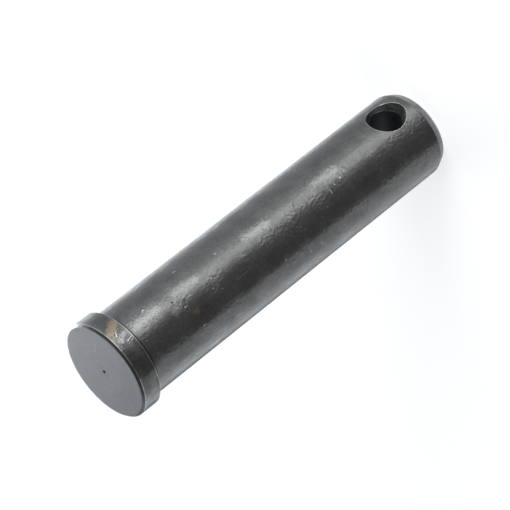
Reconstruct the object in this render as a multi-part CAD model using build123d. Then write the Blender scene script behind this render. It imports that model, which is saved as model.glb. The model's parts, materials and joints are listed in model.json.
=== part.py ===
"""Clevis pin, turned in one piece from round bar and cross-drilled near its plain end.

The pin stands on its plain end with the head up. The origin is the centre of that end's
face, Z runs up the axis of the pin, and the cross hole runs along Y.
"""

from build123d import *
from math import radians, tan
import os

# Shank, in millimetres
SHANK_DIAMETER = 25.0
SHANK_LENGTH = 110.0  # plain end to the underside of the head

# Head
HEAD_OVERHANG = 1.5  # how far the head stands out past the shank, all round
HEAD_HEIGHT = 6.0
HEAD_CHAMFER = 0.6  # 45 degrees, round the face
HEAD_BACK_BREAK = 0.2  # 45 degrees, round the underside
NECK_RADIUS = 0.4  # fillet where the shank meets the underside
CENTRE_MARK_RADIUS = 0.6  # drill point left in the middle of the face
CENTRE_MARK_DEPTH = 0.35

# Lead at the plain end, which guides the pin into the fork
LEAD_LENGTH = 2.7  # along the axis
LEAD_DEPTH = 1.2  # off the radius
LEAD_SHOULDER_RADIUS = 2.0  # where the lead runs out into the shank

# Cross hole for the split pin, countersunk at both mouths
HOLE_DIAMETER = 9.0
HOLE_FROM_END = 10.2  # plain end to the axis of the hole
COUNTERSINK_DEPTH = 2.3  # below the crown of the shank
COUNTERSINK_ANGLE = 60.0  # included
CUTTER_OVERRUN = 1.0  # how far the cutter stands out past the crown

shank_radius = SHANK_DIAMETER / 2


def turned_blank():
    """Half the outline of the pin in the XZ plane, spun about Z."""
    head_radius = shank_radius + HEAD_OVERHANG
    face_height = SHANK_LENGTH + HEAD_HEIGHT
    shoulder = (shank_radius, LEAD_LENGTH)
    neck = (shank_radius, SHANK_LENGTH)
    outline = Polyline(
        (0, 0),
        (shank_radius - LEAD_DEPTH, 0),
        shoulder,
        neck,
        (head_radius - HEAD_BACK_BREAK, SHANK_LENGTH),
        (head_radius, SHANK_LENGTH + HEAD_BACK_BREAK),
        (head_radius, face_height - HEAD_CHAMFER),
        (head_radius - HEAD_CHAMFER, face_height),
        (CENTRE_MARK_RADIUS, face_height),
        (0, face_height - CENTRE_MARK_DEPTH),
        close=True,
    )
    half_section = make_face(outline)
    for corner, radius in ((shoulder, LEAD_SHOULDER_RADIUS), (neck, NECK_RADIUS)):
        vertex = half_section.vertices().sort_by_distance(corner)[0]
        half_section = fillet(vertex, radius)
    return revolve(Plane.XZ * half_section, Axis.Z)


def cross_drill():
    """Drill and the two countersinks as one cutter along Y, widest at its ends."""
    drill_radius = HOLE_DIAMETER / 2
    countersink_floor = shank_radius - COUNTERSINK_DEPTH
    reach = shank_radius + CUTTER_OVERRUN
    flare = (reach - countersink_floor) * tan(radians(COUNTERSINK_ANGLE / 2))
    outline = Polyline(
        (0, -reach),
        (drill_radius + flare, -reach),
        (drill_radius, -countersink_floor),
        (drill_radius, countersink_floor),
        (drill_radius + flare, reach),
        (0, reach),
        close=True,
    )
    return Pos(0, 0, HOLE_FROM_END) * revolve(make_face(outline), Axis.Y)


clevis_pin = turned_blank() - cross_drill()

os.makedirs("parts", exist_ok=True)
export_step(clevis_pin, "parts/clevis_pin.step")
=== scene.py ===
import json
import math

import bmesh
import bpy
from mathutils import Matrix, Vector, noise


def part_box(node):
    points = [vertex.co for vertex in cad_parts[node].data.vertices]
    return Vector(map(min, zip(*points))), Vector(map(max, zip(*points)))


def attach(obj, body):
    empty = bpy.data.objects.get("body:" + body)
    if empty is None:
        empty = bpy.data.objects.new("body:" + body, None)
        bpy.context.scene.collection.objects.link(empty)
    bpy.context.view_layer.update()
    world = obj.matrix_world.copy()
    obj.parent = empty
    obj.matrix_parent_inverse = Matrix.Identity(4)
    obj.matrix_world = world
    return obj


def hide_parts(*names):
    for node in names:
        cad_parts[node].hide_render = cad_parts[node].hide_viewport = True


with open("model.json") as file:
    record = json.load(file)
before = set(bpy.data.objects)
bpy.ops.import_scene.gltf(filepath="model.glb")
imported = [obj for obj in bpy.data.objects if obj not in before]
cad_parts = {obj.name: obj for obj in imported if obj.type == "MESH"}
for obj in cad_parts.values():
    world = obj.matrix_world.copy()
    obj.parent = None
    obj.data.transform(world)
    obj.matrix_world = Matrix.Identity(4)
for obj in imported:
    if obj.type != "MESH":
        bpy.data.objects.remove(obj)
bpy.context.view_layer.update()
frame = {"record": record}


# ---- The pin's form ----------------------------------------------------------------------
# One bar of steel, turned to a head, a plain shank and a short lead, then cross-drilled.
# The drilled hole is countersunk on both sides for a split pin, and its mouths kept a burr.
# Sizes are in millimetres until the mesh is made.

MM = 0.001
cad_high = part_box("clevis_pin")[1]
mounts = {mount["name"]: mount for mount in frame["record"]["mounts"]}
shank_radius = mounts["shank"]["dims"]["r_mm"]
drill_radius = mounts["cross_hole"]["dims"]["r_mm"]
hole_height = mounts["cross_hole"]["pos_m"][2] / MM
head_underside = mounts["head_seat"]["pos_m"][2] / MM
head_radius = cad_high.x / MM
face_height = cad_high.z / MM

FACE_CHAMFER = 0.6
BACK_BREAK = 0.2
NECK_RADIUS = 0.4
LEAD_LENGTH = 2.7
LEAD_DEPTH = 1.2
LEAD_SHOULDER = 2.0
MARK_RADIUS = 0.6  # the drill point in the middle of the head
MARK_DEPTH = 0.35
CONE_FLOOR = shank_radius - 2.3  # where the countersink meets the bore, from the pin's axis
CONE_SLOPE = math.tan(math.radians(30))
GROUND, FACED, LEAD, DRILLED = range(4)

SEGMENTS = 288
COLUMNS = 24  # columns each side of the hole's axis that its patch replaces
PATCH_ROWS = 48
PATCH_LOW = 3.25
PATCH_HIGH = 17.4


def rounded_outline(corners):
    """Follows corners of (radius, height, rounding, row spacing and finish after it).

    Gives radius, height, distance to the nearest sharp edge and finish for each row."""
    ends = [Vector(corner[:2]) for corner in corners]
    rows, edges = [], []
    for i, (_, _, rounding, _, finish) in enumerate(corners):
        arc = [ends[i]]
        if rounding:
            back = (ends[i - 1] - ends[i]).normalized()
            ahead = (ends[i + 1] - ends[i]).normalized()
            half_turn = (math.pi - back.angle(ahead)) / 2
            run = rounding * math.tan(half_turn)
            centre = ends[i] + (back + ahead).normalized() * rounding / math.cos(half_turn)
            first, last = ends[i] + back * run - centre, ends[i] + ahead * run - centre
            arc = [centre + first.slerp(last, k / 4) * rounding for k in range(5)]
            if ahead.cross(back) > 0 and rounding < 1:
                edges.append(ends[i])
        if i > 0:
            stretch = arc[0] - rows[-1][0]
            count = max(1, round(stretch.length / corners[i - 1][3]))
            start = rows[-1][0]
            rows += [(start + stretch * k / count, corners[i - 1][4]) for k in range(1, count)]
        rows += [(point, finish) for point in arc]
    return [(point.x, point.y, min((point - edge).length for edge in edges), finish)
            for point, finish in rows]


outline = rounded_outline([
    (0.4, 0, 0, 1.2, FACED),
    (shank_radius - LEAD_DEPTH, 0, 0.25, 0.35, LEAD),
    (shank_radius, LEAD_LENGTH, LEAD_SHOULDER, 0.3, GROUND),
    (shank_radius, PATCH_LOW, 0, (PATCH_HIGH - PATCH_LOW) / PATCH_ROWS, GROUND),
    (shank_radius, PATCH_HIGH, 0, 0.9, GROUND),
    (shank_radius, head_underside, NECK_RADIUS, 0.3, FACED),
    (head_radius - BACK_BREAK, head_underside, 0.05, 0.1, GROUND),
    (head_radius, head_underside + BACK_BREAK, 0.06, 0.33, GROUND),
    (head_radius, face_height - FACE_CHAMFER, 0.1, 0.15, FACED),
    (head_radius - FACE_CHAMFER, face_height, 0.1, 0.33, FACED),
    (MARK_RADIUS, face_height, 0.08, 0.12, FACED),
    (0.08, face_height - MARK_DEPTH, 0, 1, FACED),
])


def rim_wander(around):
    """How far the rim round the face is knocked back at an angle, in millimetres."""
    slow = noise.noise(Vector((math.cos(around) * 5, math.sin(around) * 5, 2.0)))
    quick = noise.noise(Vector((math.cos(around) * 19, math.sin(around) * 19, 7.0)))
    return abs(0.07 * slow + 0.05 * quick)


mesh = bmesh.new()
edge_distance = mesh.verts.layers.float.new("edge_distance")


def add_point(x, y, z, to_edge):
    point = mesh.verts.new((x * MM, y * MM, z * MM))
    point[edge_distance] = to_edge
    return point


def join(lower, upper, finish, keep=None):
    """Fills between two rings of points, apart from the columns that keep leaves out."""
    for k in range(len(lower)):
        if keep is None or keep(k):
            after = (k + 1) % len(lower)
            mesh.faces.new((lower[k], lower[after], upper[after], upper[k])).material_index = finish


rings = []
for radius, height, to_edge, finish in outline:
    ring = []
    near_rim = max(0, 1 - math.hypot(radius - head_radius, height - face_height) / 0.9)
    for k in range(SEGMENTS):
        around = math.tau * k / SEGMENTS
        inward = radius - rim_wander(around) * near_rim
        ring.append(add_point(inward * math.cos(around), inward * math.sin(around),
                              height - rim_wander(around) * near_rim, to_edge))
    rings.append(ring)

patch_bottom = min(range(len(outline)), key=lambda row: abs(outline[row][1] - PATCH_LOW))
patch_top = patch_bottom + PATCH_ROWS
hole_columns = {-1: SEGMENTS * 3 // 4, 1: SEGMENTS // 4}  # by the side of Y that the mouth faces


def clear_of_holes(column):
    return all(not -COLUMNS <= column - middle < COLUMNS for middle in hole_columns.values())


for row in range(len(rings) - 1):
    keep = clear_of_holes if patch_bottom <= row < patch_top else None
    join(rings[row], rings[row + 1], outline[row][3], keep)
mesh.faces.new(reversed(rings[0])).material_index = FACED
mesh.faces.new(rings[-1]).material_index = FACED


def mouth_point(bearing):
    """Where the countersink breaks out of the shank: across, up and out along the hole."""
    reach = drill_radius + 1
    for _ in range(30):
        out = math.sqrt(shank_radius**2 - (reach * math.cos(bearing)) ** 2)
        reach = drill_radius + (out - CONE_FLOOR) * CONE_SLOPE
    return reach * math.cos(bearing), reach * math.sin(bearing), out


def burr_height(bearing, side, from_mouth):
    """Height of the torn lip that the countersink left, mostly towards the plain end."""
    torn = noise.noise(Vector((math.cos(bearing) * 8, math.sin(bearing) * 8, 3.0 * side)))
    lowest = 0.35 + 0.65 * max(0, -math.sin(bearing))
    lip = max(0, 1 - abs(from_mouth - 0.16) / 0.2)
    return (0.035 + 0.12 * max(0, torn)) * lowest * lip


bore_ends = {}
for side, middle in hole_columns.items():
    border = [(k, patch_bottom) for k in range(-COLUMNS, COLUMNS)]
    border += [(COLUMNS, patch_bottom + k) for k in range(PATCH_ROWS)]
    border += [(k, patch_top) for k in range(COLUMNS, -COLUMNS, -1)]
    border += [(-COLUMNS, patch_bottom + k) for k in range(PATCH_ROWS, 0, -1)]
    loop = [rings[row][(middle - side * k) % SEGMENTS] for k, row in border]
    unrolled = [(shank_radius * math.tau * k / SEGMENTS, outline[row][1] - hole_height)
                for k, row in border]
    bearings = [math.atan2(up, across) for across, up in unrolled]
    mouths = [mouth_point(bearing) for bearing in bearings]

    def surface_ring(share, from_mouth):
        """A ring on the shank, from the patch's border (0) to a distance outside the mouth (1)."""
        ring = []
        for (across, up), bearing, mouth in zip(unrolled, bearings, mouths):
            mouth_across = shank_radius * math.asin(mouth[0] / shank_radius)
            goal_across = mouth_across + from_mouth * math.cos(bearing)
            goal_up = mouth[1] + from_mouth * math.sin(bearing)
            across += (goal_across - across) * share
            up += (goal_up - up) * share
            to_mouth = math.hypot(across - mouth_across, up - mouth[1])
            radius = shank_radius + burr_height(bearing, side, to_mouth)
            ring.append(add_point(radius * math.sin(across / shank_radius),
                                  side * radius * math.cos(across / shank_radius),
                                  hole_height + up, to_mouth))
        return ring

    for share, from_mouth in ((0.3, 0.9), (0.55, 0.9), (0.78, 0.9), (1, 0.9), (1, 0.65), (1, 0.46),
                              (1, 0.34), (1, 0.25), (1, 0.16), (1, 0.08), (1, 0)):
        ring = surface_ring(share, from_mouth)
        join(loop, ring, GROUND)
        loop = ring
    for share in (0.03, 0.08, 0.2, 0.45, 0.7, 0.88, 0.97, 1.0):
        ring = []
        for bearing, (across, up, out) in zip(bearings, mouths):
            floor_across = drill_radius * math.cos(bearing)
            floor_up = drill_radius * math.sin(bearing)
            depth = (1 - share) * (out - CONE_FLOOR)
            ring.append(add_point(across + (floor_across - across) * share,
                                  side * (CONE_FLOOR + depth),
                                  hole_height + up + (floor_up - up) * share,
                                  min(share, 1 - share) * (out - CONE_FLOOR)))
        join(loop, ring, DRILLED)
        loop = ring
    bore_ends[side] = loop

loop = bore_ends[-1]
BORE_RINGS = 24
for k in range(1, BORE_RINGS + 1):
    share = k / BORE_RINGS
    ring = bore_ends[1]
    if share < 1:
        ring = [add_point(*(start.co.lerp(end.co, share) / MM), min(share, 1 - share) * 2 * CONE_FLOOR)
                for start, end in zip(bore_ends[-1], bore_ends[1])]
    join(loop, ring, DRILLED)
    loop = ring

bmesh.ops.delete(mesh, geom=[point for point in mesh.verts if not point.link_faces], context="VERTS")
bmesh.ops.recalc_face_normals(mesh, faces=mesh.faces)
for face in mesh.faces:
    face.smooth = True
pin_mesh = bpy.data.meshes.new("pin")
mesh.to_mesh(pin_mesh)
mesh.free()
pin = bpy.data.objects.new("pin", pin_mesh)
bpy.context.scene.collection.objects.link(pin)
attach(pin, "root")
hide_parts("clevis_pin")


# ---- The pin's surface effects -----------------------------------------------------------
# Each is a node group that the four finishes below share: the lines that turning and
# grinding leave, the cloudy black oxide, pits and glints, bright worn edges and odd marks.

def add_node(tree, kind, inputs=(), **settings):
    """Adds a shader node. Inputs are sockets to link or plain values, by place or by name."""
    made = tree.nodes.new("ShaderNode" + kind)
    for name, value in settings.items():
        setattr(made, name, value)
    pairs = inputs.items() if isinstance(inputs, dict) else enumerate(inputs)
    for key, value in pairs:
        if isinstance(value, bpy.types.NodeSocket):
            tree.links.new(value, made.inputs[key])
        else:
            made.inputs[key].default_value = value
    return made


def maths(tree, operation, *values):
    return add_node(tree, "Math", values, operation=operation).outputs[0]


def vector_maths(tree, operation, inputs, output="Vector"):
    return add_node(tree, "VectorMath", inputs, operation=operation).outputs[output]


def ramp(tree, value, start, end, low=0.0, high=1.0):
    """A smooth step between two values."""
    step = add_node(tree, "MapRange", (value, start, end, low, high), interpolation_type="SMOOTHSTEP")
    return step.outputs["Result"]


def mix_colour(tree, share, first, second):
    mixer = add_node(tree, "Mix", {0: share, 6: first, 7: second}, data_type="RGBA")
    return mixer.outputs[2]


def cloud(tree, place, size, detail=2.0, roughness=0.5):
    """Smooth noise from 0 to 1 with features of a size in millimetres."""
    made = add_node(tree, "TexNoise", {"Vector": place, "Detail": detail, "Roughness": roughness})
    if isinstance(size, bpy.types.NodeSocket):
        tree.links.new(maths(tree, "DIVIDE", 1.0, size), made.inputs["Scale"])
    else:
        made.inputs["Scale"].default_value = 1 / size
    return made.outputs["Fac"]


def new_group(name, inputs, outputs):
    """Starts a node group. Gives the tree, its inputs by name and its output node."""
    tree = bpy.data.node_groups.new(name, "ShaderNodeTree")
    for label, value in inputs.items():
        kind = {float: "NodeSocketFloat", str: "NodeSocketVector"}.get(type(value), "NodeSocketColor")
        socket = tree.interface.new_socket(label, in_out="INPUT", socket_type=kind)
        if kind != "NodeSocketVector":
            socket.default_value = value
    for label, kind in outputs.items():
        tree.interface.new_socket(label, in_out="OUTPUT", socket_type=kind)
    return tree, tree.nodes.new("NodeGroupInput").outputs, tree.nodes.new("NodeGroupOutput").inputs


def use_group(tree, group, **inputs):
    """Places a node group; input names are written with underscores for spaces."""
    made = tree.nodes.new("ShaderNodeGroup")
    made.node_tree = group
    for name, value in inputs.items():
        socket = made.inputs[name.replace("_", " ")]
        if isinstance(value, bpy.types.NodeSocket):
            tree.links.new(value, socket)
        else:
            socket.default_value = value
    return made.outputs


VECTOR = "vector"

# Fine lines that run one way and change quickly across it, as a tool or a wheel leaves them.
tool_lines, given, out = new_group("tool lines", {"Place": VECTOR, "Across": 0.0, "Pitch": 0.3,
                                                  "Run": 4.0}, {"Lines": "NodeSocketFloat"})
slow = vector_maths(tool_lines, "SCALE", {0: given["Place"],
                                          "Scale": maths(tool_lines, "DIVIDE", 1.0, given["Run"])})
quick = add_node(tool_lines, "CombineXYZ",
                 {"Z": maths(tool_lines, "DIVIDE", given["Across"], given["Pitch"])})
lines = add_node(tool_lines, "TexNoise",
                 {"Vector": vector_maths(tool_lines, "ADD", (slow, quick.outputs[0])),
                  "Scale": 1.0, "Detail": 2.5, "Roughness": 0.6})
tool_lines.links.new(lines.outputs["Fac"], out["Lines"])

# The oxide lies in thin clouds: large soft ones, with a fine mottle in them.
blacking, given, out = new_group("blacking", {"Place": VECTOR, "Cloud Size": 7.0, "Mottle Size": 0.9,
                                              "Dark": (0.05, 0.05, 0.05, 1), "Light": (0.07, 0.07, 0.07, 1)},
                                 {"Colour": "NodeSocketColor", "Clouds": "NodeSocketFloat"})
large = cloud(blacking, given["Place"], given["Cloud Size"], 3.0)
mottle = cloud(blacking, given["Place"], given["Mottle Size"], 3.0, 0.65)
share = maths(blacking, "MULTIPLY_ADD", mottle, 0.45, maths(blacking, "MULTIPLY", large, 0.55))
share = ramp(blacking, share, 0.33, 0.67)
blacking.links.new(mix_colour(blacking, share, given["Dark"], given["Light"]), out["Colour"])
blacking.links.new(share, out["Clouds"])

# Small pits with a soft slope, and glints where the metal shows bright.
pitting, given, out = new_group("pitting", {"Place": VECTOR, "Spacing": 1.6, "Radius": 0.35,
                                            "Share": 0.3}, {"Pits": "NodeSocketFloat"})
cells = add_node(pitting, "TexVoronoi", {"Vector": given["Place"], "Randomness": 1.0,
                                         "Scale": maths(pitting, "DIVIDE", 1.0, given["Spacing"])})
chosen = add_node(pitting, "SeparateColor", (cells.outputs["Color"],))
reach = maths(pitting, "MULTIPLY", cells.outputs["Distance"], given["Spacing"])
dish = add_node(pitting, "MapRange", (reach, 0.0, given["Radius"], 1.0, 0.0),
                interpolation_type="SMOOTHSTEP")
kept = maths(pitting, "LESS_THAN", chosen.outputs[0], given["Share"])
sized = maths(pitting, "MULTIPLY", kept, chosen.outputs[1])
pitting.links.new(maths(pitting, "MULTIPLY", sized, dish.outputs[0]), out["Pits"])

# Handling rubs the oxide off the sharp edges, unevenly.
edge_wear, given, out = new_group("edge wear", {"Place": VECTOR, "Edge Distance": 1.0, "Width": 0.2},
                                  {"Wear": "NodeSocketFloat"})
ragged = cloud(edge_wear, given["Place"], 0.8, 3.0, 0.7)
reach = maths(edge_wear, "DIVIDE", given["Edge Distance"], given["Width"])
ragged = maths(edge_wear, "MULTIPLY_ADD", ragged, 2.4, -1.2)
edge_wear.links.new(ramp(edge_wear, maths(edge_wear, "SUBTRACT", reach, ragged), 1.2, 0.5),
                    out["Wear"])

# One scratch, stain, smear or painted highlight: a ragged line between two places, or a spot where they
# meet.
mark, given, out = new_group("mark", {"Place": VECTOR, "Start": VECTOR, "End": VECTOR, "Width": 0.3,
                                      "Ragged": 0.3}, {"Mark": "NodeSocketFloat"})
length = vector_maths(mark, "SUBTRACT", (given["End"], given["Start"]))
offset = vector_maths(mark, "SUBTRACT", (given["Place"], given["Start"]))
along = maths(mark, "DIVIDE", vector_maths(mark, "DOT_PRODUCT", (offset, length), "Value"),
              maths(mark, "ADD", vector_maths(mark, "DOT_PRODUCT", (length, length), "Value"), 1e-6))
along = add_node(mark, "Clamp", (along, 0.0, 1.0)).outputs[0]
nearest = vector_maths(mark, "SCALE", {0: length, "Scale": along})
reach = vector_maths(mark, "DISTANCE", (offset, nearest), "Value")
reach = maths(mark, "DIVIDE", reach, given["Width"])
fray = maths(mark, "MULTIPLY", maths(mark, "SUBTRACT", cloud(mark, given["Place"], 0.5, 3.0, 0.7), 0.5),
             given["Ragged"])
mark.links.new(ramp(mark, maths(mark, "MULTIPLY_ADD", fray, 4.0, reach), 1.0, 0.35), out["Mark"])


# ---- Ground finish: shank and side of the head -------------------------------------------
# Ground round and round, then hot-blackened and oiled. The lines of the grinding smear
# reflections along the pin. Blows and rubbing in use left pits, scratches and a few stains.

def start_material(name):
    made = bpy.data.materials.new(name)
    made.use_nodes = True
    tree = made.node_tree
    place = vector_maths(tree, "SCALE", {0: add_node(tree, "TexCoord").outputs["Object"], "Scale": 1 / MM})
    return made, tree, tree.nodes["Principled BSDF"], place


def on_side(around, height, radius=shank_radius):
    """A place on the pin's side, by its angle from -Y towards +X in degrees."""
    angle = math.radians(around)
    return radius * math.sin(angle), -radius * math.cos(angle), height


ground, tree, shader, place = start_material("ground_steel")
shader.inputs["Metallic"].default_value = 1.0
shader.inputs["Anisotropic"].default_value = 1.0
shader.inputs["Anisotropic Rotation"].default_value = 0.25
grain = add_node(tree, "Tangent", direction_type="RADIAL", axis="Z")
tree.links.new(grain.outputs["Tangent"], shader.inputs["Tangent"])
split = add_node(tree, "SeparateXYZ", (place,))
height = split.outputs["Z"]
to_edge = add_node(tree, "Attribute", attribute_name="edge_distance").outputs["Fac"]

coarse_lines = use_group(tree, tool_lines, Place=place, Across=height, Pitch=0.5, Run=3.0)["Lines"]
fine_lines = use_group(tree, tool_lines, Place=place, Across=height, Pitch=0.2, Run=1.2)["Lines"]
oxide = use_group(tree, blacking, Place=place, Cloud_Size=6.0, Mottle_Size=0.9,
                  Dark=(0.043, 0.0435, 0.0405, 1), Light=(0.069, 0.0695, 0.066, 1))
lined = maths(tree, "MULTIPLY", fine_lines, 0.5)
lined = maths(tree, "MULTIPLY_ADD", coarse_lines, 0.6, lined)
lined = ramp(tree, lined, 0.35, 0.75, 0.9, 1.1)
colour = vector_maths(tree, "SCALE", {0: oxide["Colour"], "Scale": lined})
on_head = ramp(tree, height, head_underside - 0.1, head_underside + 0.1)
bare = ramp(tree, cloud(tree, place, 2.5, 3.0), 0.4, 0.6)
handled = mix_colour(tree, bare, (0.028, 0.028, 0.026, 1), colour)
colour = mix_colour(tree, maths(tree, "MULTIPLY", on_head, 0.5), colour, handled)

dents = use_group(tree, pitting, Place=place, Spacing=1.5, Radius=0.5, Share=0.6)["Pits"]
nicks = use_group(tree, pitting, Place=place, Spacing=1.1, Radius=0.3, Share=0.3)["Pits"]
specks = use_group(tree, pitting, Place=place, Spacing=0.9, Radius=0.16, Share=0.25)["Pits"]
colour = mix_colour(tree, maths(tree, "MULTIPLY", specks, 0.8), colour, (0.16, 0.16, 0.155, 1))

# Marks that use left on the side, and pale smears that are painted highlight. Each has where it
# starts and ends (an angle from -Y towards +X and a height), its half width, how ragged it is,
# how strongly it shows and its colour.
BRIGHT = (0.34, 0.34, 0.33, 1)
PALE = (0.14, 0.14, 0.135, 1)
BLACK = (0.012, 0.012, 0.012, 1)
RUST = (0.15, 0.105, 0.07, 1)
STRAW = (0.16, 0.125, 0.085, 1)
side_marks_and_painted_highlights = [
    ((-46.8, 91.7), (-46.2, 91.2), 0.9, 0.8, 0.5, RUST),
    # painted highlight: a pale patch at the lower edge of the shank's bright band
    ((-33, 96.4), (-32, 95.6), 1.2, 0.6, 0.5, PALE),
    ((-37.5, 82), (-42.5, 84), 0.3, 0.3, 0.6, PALE),
    ((-46.5, 77), (-46.5, 73), 0.18, 0.2, 0.5, PALE),
    ((-103, 88), (-104, 90.5), 0.8, 0.8, 0.45, PALE),
    ((10.5, 88.4), (10.5, 87.4), 0.14, 0.1, 0.8, BRIGHT),
    ((-6.5, 102.7), (-6.3, 102.3), 0.18, 0.2, 0.7, BRIGHT),
    ((-5.5, 76.8), (-5.5, 76.3), 0.16, 0.2, 0.7, BRIGHT),
    ((-30.5, 39.2), (-35.5, 39.3), 0.14, 0.1, 1.0, BRIGHT),
    ((-29.5, 37), (-29.3, 37), 0.16, 0.2, 0.8, BRIGHT),
    ((-26.5, 34.5), (-26.3, 34.4), 0.18, 0.2, 0.8, BRIGHT),
    ((-23.5, 32.2), (-23.3, 32.2), 0.15, 0.2, 0.8, BRIGHT),
    ((-64.5, 61.5), (-64.7, 61.4), 0.25, 0.4, 0.6, BRIGHT),
    ((-65.5, 91.5), (-65.5, 91.2), 0.25, 0.4, 0.5, BRIGHT),
    ((-65.5, 80), (-65.8, 80), 0.2, 0.4, 0.5, BRIGHT),
    ((-63.5, 55.5), (-63.8, 55.4), 0.22, 0.4, 0.5, BRIGHT),
    ((-78.5, 49), (-78.8, 49), 0.2, 0.3, 0.5, BRIGHT),
    ((-78.5, 53), (-78.8, 53), 0.2, 0.3, 0.5, BRIGHT),
    ((-15.5, 50), (-21.5, 51), 0.22, 0.2, 0.7, BLACK),
    ((-17.5, 31.8), (-22.5, 31.2), 0.22, 0.2, 0.7, BLACK),
    # painted highlight: the next four are pale smears laid along the shank's bright band
    ((-17, 107), (-14, 100), 1.9, 1.3, 0.45, PALE),
    ((-13, 93), (-14, 86), 1.4, 1.3, 0.4, PALE),
    ((-12, 67), (-14, 60), 1.5, 1.4, 0.45, PALE),
    ((-11, 42), (-14, 34), 1.3, 1.4, 0.4, PALE),
]
head_marks = [
    ((0.5, 111), (-8.5, 114.4), 1.6, 0.9, 0.6, STRAW),
    ((-16, 111.5), (-21, 113.5), 0.9, 0.9, 0.4, PALE),
    ((-23.5, 110.5), (-25.5, 112.3), 0.12, 0.5, 0.6, BRIGHT),
    ((-26.5, 110.7), (-28.5, 112.5), 0.1, 0.5, 0.5, BRIGHT),
    ((-11, 113), (-15, 113.6), 0.14, 0.2, 0.6, BRIGHT),
]
deep_pits = [(-72, 79), (-71.5, 31), (-68.5, 7), (-20.5, 95.3), (-29, 92.5), (-28.5, 84.5), (25.5, 34.5)]
DEEP_PIT_RADIUS = 0.38
for radius, marks in ((shank_radius, side_marks_and_painted_highlights), (head_radius, head_marks)):
    for start, end, half_width, ragged, strength, tone in marks:
        seen = use_group(tree, mark, Place=place, Start=on_side(*start, radius),
                         End=on_side(*end, radius), Width=half_width, Ragged=ragged)["Mark"]
        colour = mix_colour(tree, maths(tree, "MULTIPLY", seen, strength), colour, tone)
deep = 0.0
for spot in deep_pits:
    seen = use_group(tree, mark, Place=place, Start=on_side(*spot), End=on_side(*spot),
                     Width=DEEP_PIT_RADIUS, Ragged=0.4)["Mark"]
    deep = maths(tree, "ADD", seen, deep)
colour = mix_colour(tree, maths(tree, "MULTIPLY", deep, 0.7), colour, BLACK)

# Painted shade: a dark band round the shank just under the head, where the head's underside shades it.
painted_shade_under_head = ramp(tree, height, head_underside - 1.15, head_underside - 0.95)
shade_band_top = ramp(tree, height, head_underside + 0.02, head_underside)
painted_shade_under_head = maths(tree, "MULTIPLY", maths(tree, "MULTIPLY", painted_shade_under_head, shade_band_top), 0.75)
colour = mix_colour(tree, painted_shade_under_head, colour, (0.008, 0.008, 0.008, 1))

wear = use_group(tree, edge_wear, Place=place, Edge_Distance=to_edge, Width=0.16)["Wear"]
colour = mix_colour(tree, maths(tree, "MULTIPLY", wear, 0.4), colour, (0.25, 0.25, 0.24, 1))
tree.links.new(colour, shader.inputs["Base Color"])
tree.links.new(ramp(tree, oxide["Clouds"], 0.0, 1.0, 0.4, 0.46), shader.inputs["Roughness"])

battered = ramp(tree, cloud(tree, place, 6.0, 2.0), 0.42, 0.6, 0.3, 1.0)
grit = maths(tree, "SUBTRACT", cloud(tree, place, 0.8, 1.0, 0.5), 0.5)
grit = maths(tree, "MULTIPLY", grit, 0.11)
grit = maths(tree, "MULTIPLY_ADD", dents, -0.09, grit)
grit = maths(tree, "MULTIPLY_ADD", nicks, -0.12, grit)
rough = maths(tree, "MULTIPLY", grit, battered)
rough = maths(tree, "MULTIPLY_ADD", deep, -0.15, rough)
rough = maths(tree, "MULTIPLY_ADD", cloud(tree, place, 3.0, 2.0), 0.05, rough)
rough = maths(tree, "MULTIPLY_ADD", coarse_lines, 0.02, rough)
relief = add_node(tree, "Bump", {"Distance": MM, "Height": rough})
tree.links.new(relief.outputs["Normal"], shader.inputs["Normal"])


# ---- Faced finish: the head's face, its chamfer and back, and the plain end --------------
# Cut flat by a turning tool, so faint rings run round the middle. Blackened but not ground,
# so it is more even and a little greyer than the side.

faced, tree, shader, place = start_material("faced_steel")
shader.inputs["Metallic"].default_value = 1.0
split = add_node(tree, "SeparateXYZ", (place,))
flat = add_node(tree, "CombineXYZ", {"X": split.outputs["X"], "Y": split.outputs["Y"]})
from_axis = vector_maths(tree, "LENGTH", (flat.outputs[0],), "Value")
to_edge = add_node(tree, "Attribute", attribute_name="edge_distance").outputs["Fac"]
ring_lines = use_group(tree, tool_lines, Place=place, Across=from_axis, Pitch=0.42, Run=7.0)["Lines"]
oxide = use_group(tree, blacking, Place=place, Cloud_Size=5.0, Mottle_Size=1.3,
                  Dark=(0.05, 0.05, 0.049, 1), Light=(0.064, 0.064, 0.063, 1))
ringed = ramp(tree, ring_lines, 0.35, 0.65, 0.87, 1.1)
colour = vector_maths(tree, "SCALE", {0: oxide["Colour"], "Scale": ringed})
on_chamfer = ramp(tree, from_axis, head_radius - FACE_CHAMFER - 0.04, head_radius - FACE_CHAMFER + 0.04)
colour = mix_colour(tree, on_chamfer, colour, (0.05, 0.051, 0.05, 1))
round_mark = ramp(tree, from_axis, 3.4, 0.5, 0.0, 0.4)
colour = mix_colour(tree, round_mark, colour, (0.03, 0.03, 0.03, 1))
in_mark = ramp(tree, from_axis, 0.75, 0.4, 0.0, 0.85)
colour = mix_colour(tree, in_mark, colour, (0.01, 0.01, 0.01, 1))
face_marks = [  # where each starts and ends on the face, its half width and its colour
    ((4.5, -1.6), (4.5, -1.6), 0.3, BLACK),
    ((-9.5, -0.2), (-9.3, 0), 0.22, BLACK),
    ((2.4, -9.1), (2.4, -5.3), 0.14, PALE),
]
for start, end, half_width, tone in face_marks:
    seen = use_group(tree, mark, Place=place, Start=(*start, face_height), End=(*end, face_height),
                     Width=half_width, Ragged=0.2)["Mark"]
    colour = mix_colour(tree, maths(tree, "MULTIPLY", seen, 0.6), colour, tone)
wear = use_group(tree, edge_wear, Place=place, Edge_Distance=to_edge, Width=0.06)["Wear"]
colour = mix_colour(tree, maths(tree, "MULTIPLY", wear, 0.3), colour, (0.3, 0.3, 0.3, 1))
tree.links.new(colour, shader.inputs["Base Color"])
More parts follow.
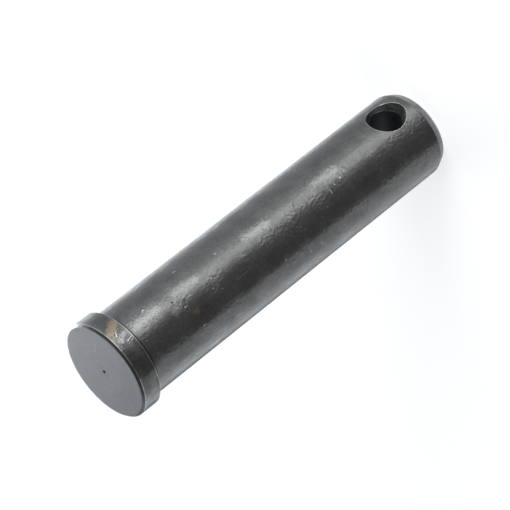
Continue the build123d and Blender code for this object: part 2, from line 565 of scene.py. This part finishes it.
tree.links.new(ramp(tree, oxide["Clouds"], 0.0, 1.0, 0.38, 0.43), shader.inputs["Roughness"])
relief = add_node(tree, "Bump", {"Distance": MM, "Height": maths(tree, "MULTIPLY", ring_lines, 0.016)})
tree.links.new(relief.outputs["Normal"], shader.inputs["Normal"])


# ---- Lead finish: the taper at the plain end ---------------------------------------------
# Turned after the grinding, and rubbed paler each time the pin was pushed home.

lead, tree, shader, place = start_material("lead_steel")
shader.inputs["Metallic"].default_value = 1.0
split = add_node(tree, "SeparateXYZ", (place,))
to_edge = add_node(tree, "Attribute", attribute_name="edge_distance").outputs["Fac"]
lines = use_group(tree, tool_lines, Place=place, Across=split.outputs["Z"], Pitch=0.3, Run=5.0)["Lines"]
oxide = use_group(tree, blacking, Place=place, Cloud_Size=4.0, Mottle_Size=0.9,
                  Dark=(0.13, 0.135, 0.138, 1), Light=(0.2, 0.205, 0.21, 1))
colour = vector_maths(tree, "SCALE", {0: oxide["Colour"], "Scale": ramp(tree, lines, 0.3, 0.7, 0.85, 1.15)})
wear = use_group(tree, edge_wear, Place=place, Edge_Distance=to_edge, Width=0.5)["Wear"]
colour = mix_colour(tree, maths(tree, "MULTIPLY", wear, 0.7), colour, (0.42, 0.43, 0.44, 1))
tree.links.new(colour, shader.inputs["Base Color"])
shader.inputs["Roughness"].default_value = 0.42
relief = add_node(tree, "Bump", {"Distance": MM, "Height": maths(tree, "MULTIPLY", lines, 0.008)})
tree.links.new(relief.outputs["Normal"], shader.inputs["Normal"])


# ---- Drilled finish: countersinks and bore -----------------------------------------------
# Cut by a drill and a countersink that chattered a little. Deep in the bore the colour is darkened as
# painted shade, and the surface is rougher.

drilled, tree, shader, place = start_material("drilled_steel")
shader.inputs["Metallic"].default_value = 1.0
split = add_node(tree, "SeparateXYZ", (place,))
depth = maths(tree, "ABSOLUTE", split.outputs["Y"])
to_edge = add_node(tree, "Attribute", attribute_name="edge_distance").outputs["Fac"]
lines = use_group(tree, tool_lines, Place=place, Across=split.outputs["Y"], Pitch=0.35, Run=2.0)["Lines"]
oxide = use_group(tree, blacking, Place=place, Cloud_Size=3.0, Mottle_Size=0.7,
                  Dark=(0.045, 0.046, 0.045, 1), Light=(0.09, 0.092, 0.09, 1))
colour = vector_maths(tree, "SCALE", {0: oxide["Colour"], "Scale": ramp(tree, lines, 0.3, 0.7, 0.7, 1.3)})
# Painted shade: darker colour deep in the bore, past the countersinks; the same mask makes the bore rougher.
bore_shade_and_roughness = ramp(tree, depth, CONE_FLOOR + 0.05, CONE_FLOOR - 0.25)
colour = mix_colour(tree, bore_shade_and_roughness, colour, (0.022, 0.024, 0.025, 1))
wear = use_group(tree, edge_wear, Place=place, Edge_Distance=to_edge, Width=0.12)["Wear"]
uneven = ramp(tree, cloud(tree, place, 2.2), 0.42, 0.62, 0.05, 0.6)
colour = mix_colour(tree, maths(tree, "MULTIPLY", wear, uneven), colour, (0.3, 0.3, 0.29, 1))
tree.links.new(colour, shader.inputs["Base Color"])
tree.links.new(ramp(tree, bore_shade_and_roughness, 0.0, 1.0, 0.4, 0.7), shader.inputs["Roughness"])
relief = add_node(tree, "Bump", {"Distance": MM, "Height": maths(tree, "MULTIPLY", lines, 0.03)})
tree.links.new(relief.outputs["Normal"], shader.inputs["Normal"])

for finish in (ground, faced, lead, drilled):
    pin_mesh.materials.append(finish)


# ---- Floor -------------------------------------------------------------------------------
# A plain pale sheet that the pin stands on. It isn't part of the pin. Where it is looked at,
# straight on or in the metal, part of it is plain white, so that the shadow stays faint.

FLOOR_REACH = 14
FLOOR_WHITE = 0.6  # how much of the floor is plain white where it is looked at
floor_mesh = bpy.data.meshes.new("floor")
corners = [(-FLOOR_REACH, -FLOOR_REACH, 0), (FLOOR_REACH, -FLOOR_REACH, 0),
           (FLOOR_REACH, FLOOR_REACH, 0), (-FLOOR_REACH, FLOOR_REACH, 0)]
floor_mesh.from_pydata(corners, [], [(0, 1, 2, 3)])
floor = bpy.data.objects.new("floor", floor_mesh)
bpy.context.scene.collection.objects.link(floor)
paper = bpy.data.materials.new("pale_floor")
paper.use_nodes = True
tree = paper.node_tree
sheet = tree.nodes["Principled BSDF"]
sheet.inputs["Base Color"].default_value = (0.8, 0.8, 0.8, 1)
sheet.inputs["Roughness"].default_value = 0.9
sheet.inputs["Specular IOR Level"].default_value = 0.0
white = add_node(tree, "Emission", {"Color": (1, 1, 1, 1), "Strength": 1.0})
path = add_node(tree, "LightPath").outputs
looked_at = maths(tree, "MAXIMUM", path["Is Camera Ray"], path["Is Glossy Ray"])
looked_at = maths(tree, "MAXIMUM", looked_at, path["Is Transmission Ray"])
white_share = maths(tree, "MULTIPLY", looked_at, FLOOR_WHITE)
blend = add_node(tree, "MixShader", {0: white_share, 1: sheet.outputs[0], 2: white.outputs[0]})
tree.links.new(blend.outputs[0], tree.nodes["Material Output"].inputs["Surface"])
floor_mesh.materials.append(paper)


# ---- Lamps -------------------------------------------------------------------------------
# Soft strips that stand round the pin and a dim even room. Each is given by its bearing
# from the camera, its width and its lowest and highest angle above the floor, in degrees.

CAMERA_BEARING = -35.55
LAMP_DISTANCE = 3.0

room = bpy.data.worlds.new("room")
room.use_nodes = True
room.node_tree.nodes["Background"].inputs["Color"].default_value = (1, 1, 1, 1)
room.node_tree.nodes["Background"].inputs["Strength"].default_value = 0.25
bpy.context.scene.world = room


def soft_strip(name, bearing, width, low, high, radiance, colour=(1, 1, 1)):
    """An area lamp that faces the pin and is out of the camera's sight."""
    turn = math.radians(CAMERA_BEARING - bearing)
    tilt = math.radians((low + high) / 2)
    outward = Vector((math.sin(turn) * math.cos(tilt), -math.cos(turn) * math.cos(tilt), math.sin(tilt)))
    strip = bpy.data.lights.new(name, "AREA")
    strip.shape = "RECTANGLE"
    strip.size = 2 * LAMP_DISTANCE * math.cos(tilt) * math.tan(math.radians(width) / 2)
    strip.size_y = 2 * LAMP_DISTANCE * math.tan(math.radians(high - low) / 2)
    strip.energy = radiance * math.pi * strip.size * strip.size_y
    strip.color = colour
    lamp = bpy.data.objects.new(name, strip)
    lamp.location = outward * LAMP_DISTANCE
    lamp.rotation_euler = outward.to_track_quat("Z", "Y").to_euler()
    lamp.visible_camera = False
    bpy.context.scene.collection.objects.link(lamp)


COOL = (0.94, 1.0, 1.1)
FAINTLY_COOL = (0.97, 1.0, 1.05)
soft_strip("key_strip", -31, 27, 0, 15, 43, FAINTLY_COOL)
soft_strip("key_tail", -11, 14, 0, 15, 9, FAINTLY_COOL)
soft_strip("key_shoulder", -60, 29, 0, 15, 17, COOL)
soft_strip("key_wash", -45, 30, 15, 40, 8)
soft_strip("front_wash", 0, 36, 0, 15, 2.4)
soft_strip("left_strip", -102, 55, 0, 15, 12, COOL)
soft_strip("left_back_strip", -152, 56, 0, 15, 22, COOL)
soft_strip("right_strip", 78, 36, 0, 15, 13.5, COOL)
soft_strip("right_back_strip", 114, 36, 0, 15, 22, COOL)
soft_strip("back_panel", -165, 30, 15, 40, 2.1)


# ---- Camera ------------------------------------------------------------------------------
# Looks down at the pin from the front left with a long lens, turned on its side so that the
# head comes forward and down and the shank runs up to the right.

camera = bpy.data.objects.new("camera", bpy.data.cameras.new("camera"))
CAMERA_ELEVATION = 28.79
CAMERA_ROLL = -128.18
CAMERA_PLACE = (-0.36723, -0.51343, 0.40857)
camera.data.lens = 196.27
camera.data.sensor_width = 36
elevation = math.radians(CAMERA_ELEVATION)
bearing = math.radians(CAMERA_BEARING)
outward = Vector((math.sin(bearing) * math.cos(elevation), -math.cos(bearing) * math.cos(elevation),
                  math.sin(elevation)))
turn = outward.to_track_quat("Z", "Y").to_matrix().to_4x4()
camera.matrix_world = (Matrix.Translation(CAMERA_PLACE) @ turn
                       @ Matrix.Rotation(math.radians(CAMERA_ROLL), 4, "Z"))
bpy.context.scene.collection.objects.link(camera)
bpy.context.scene.camera = camera
bpy.context.scene.view_settings.view_transform = "Standard"
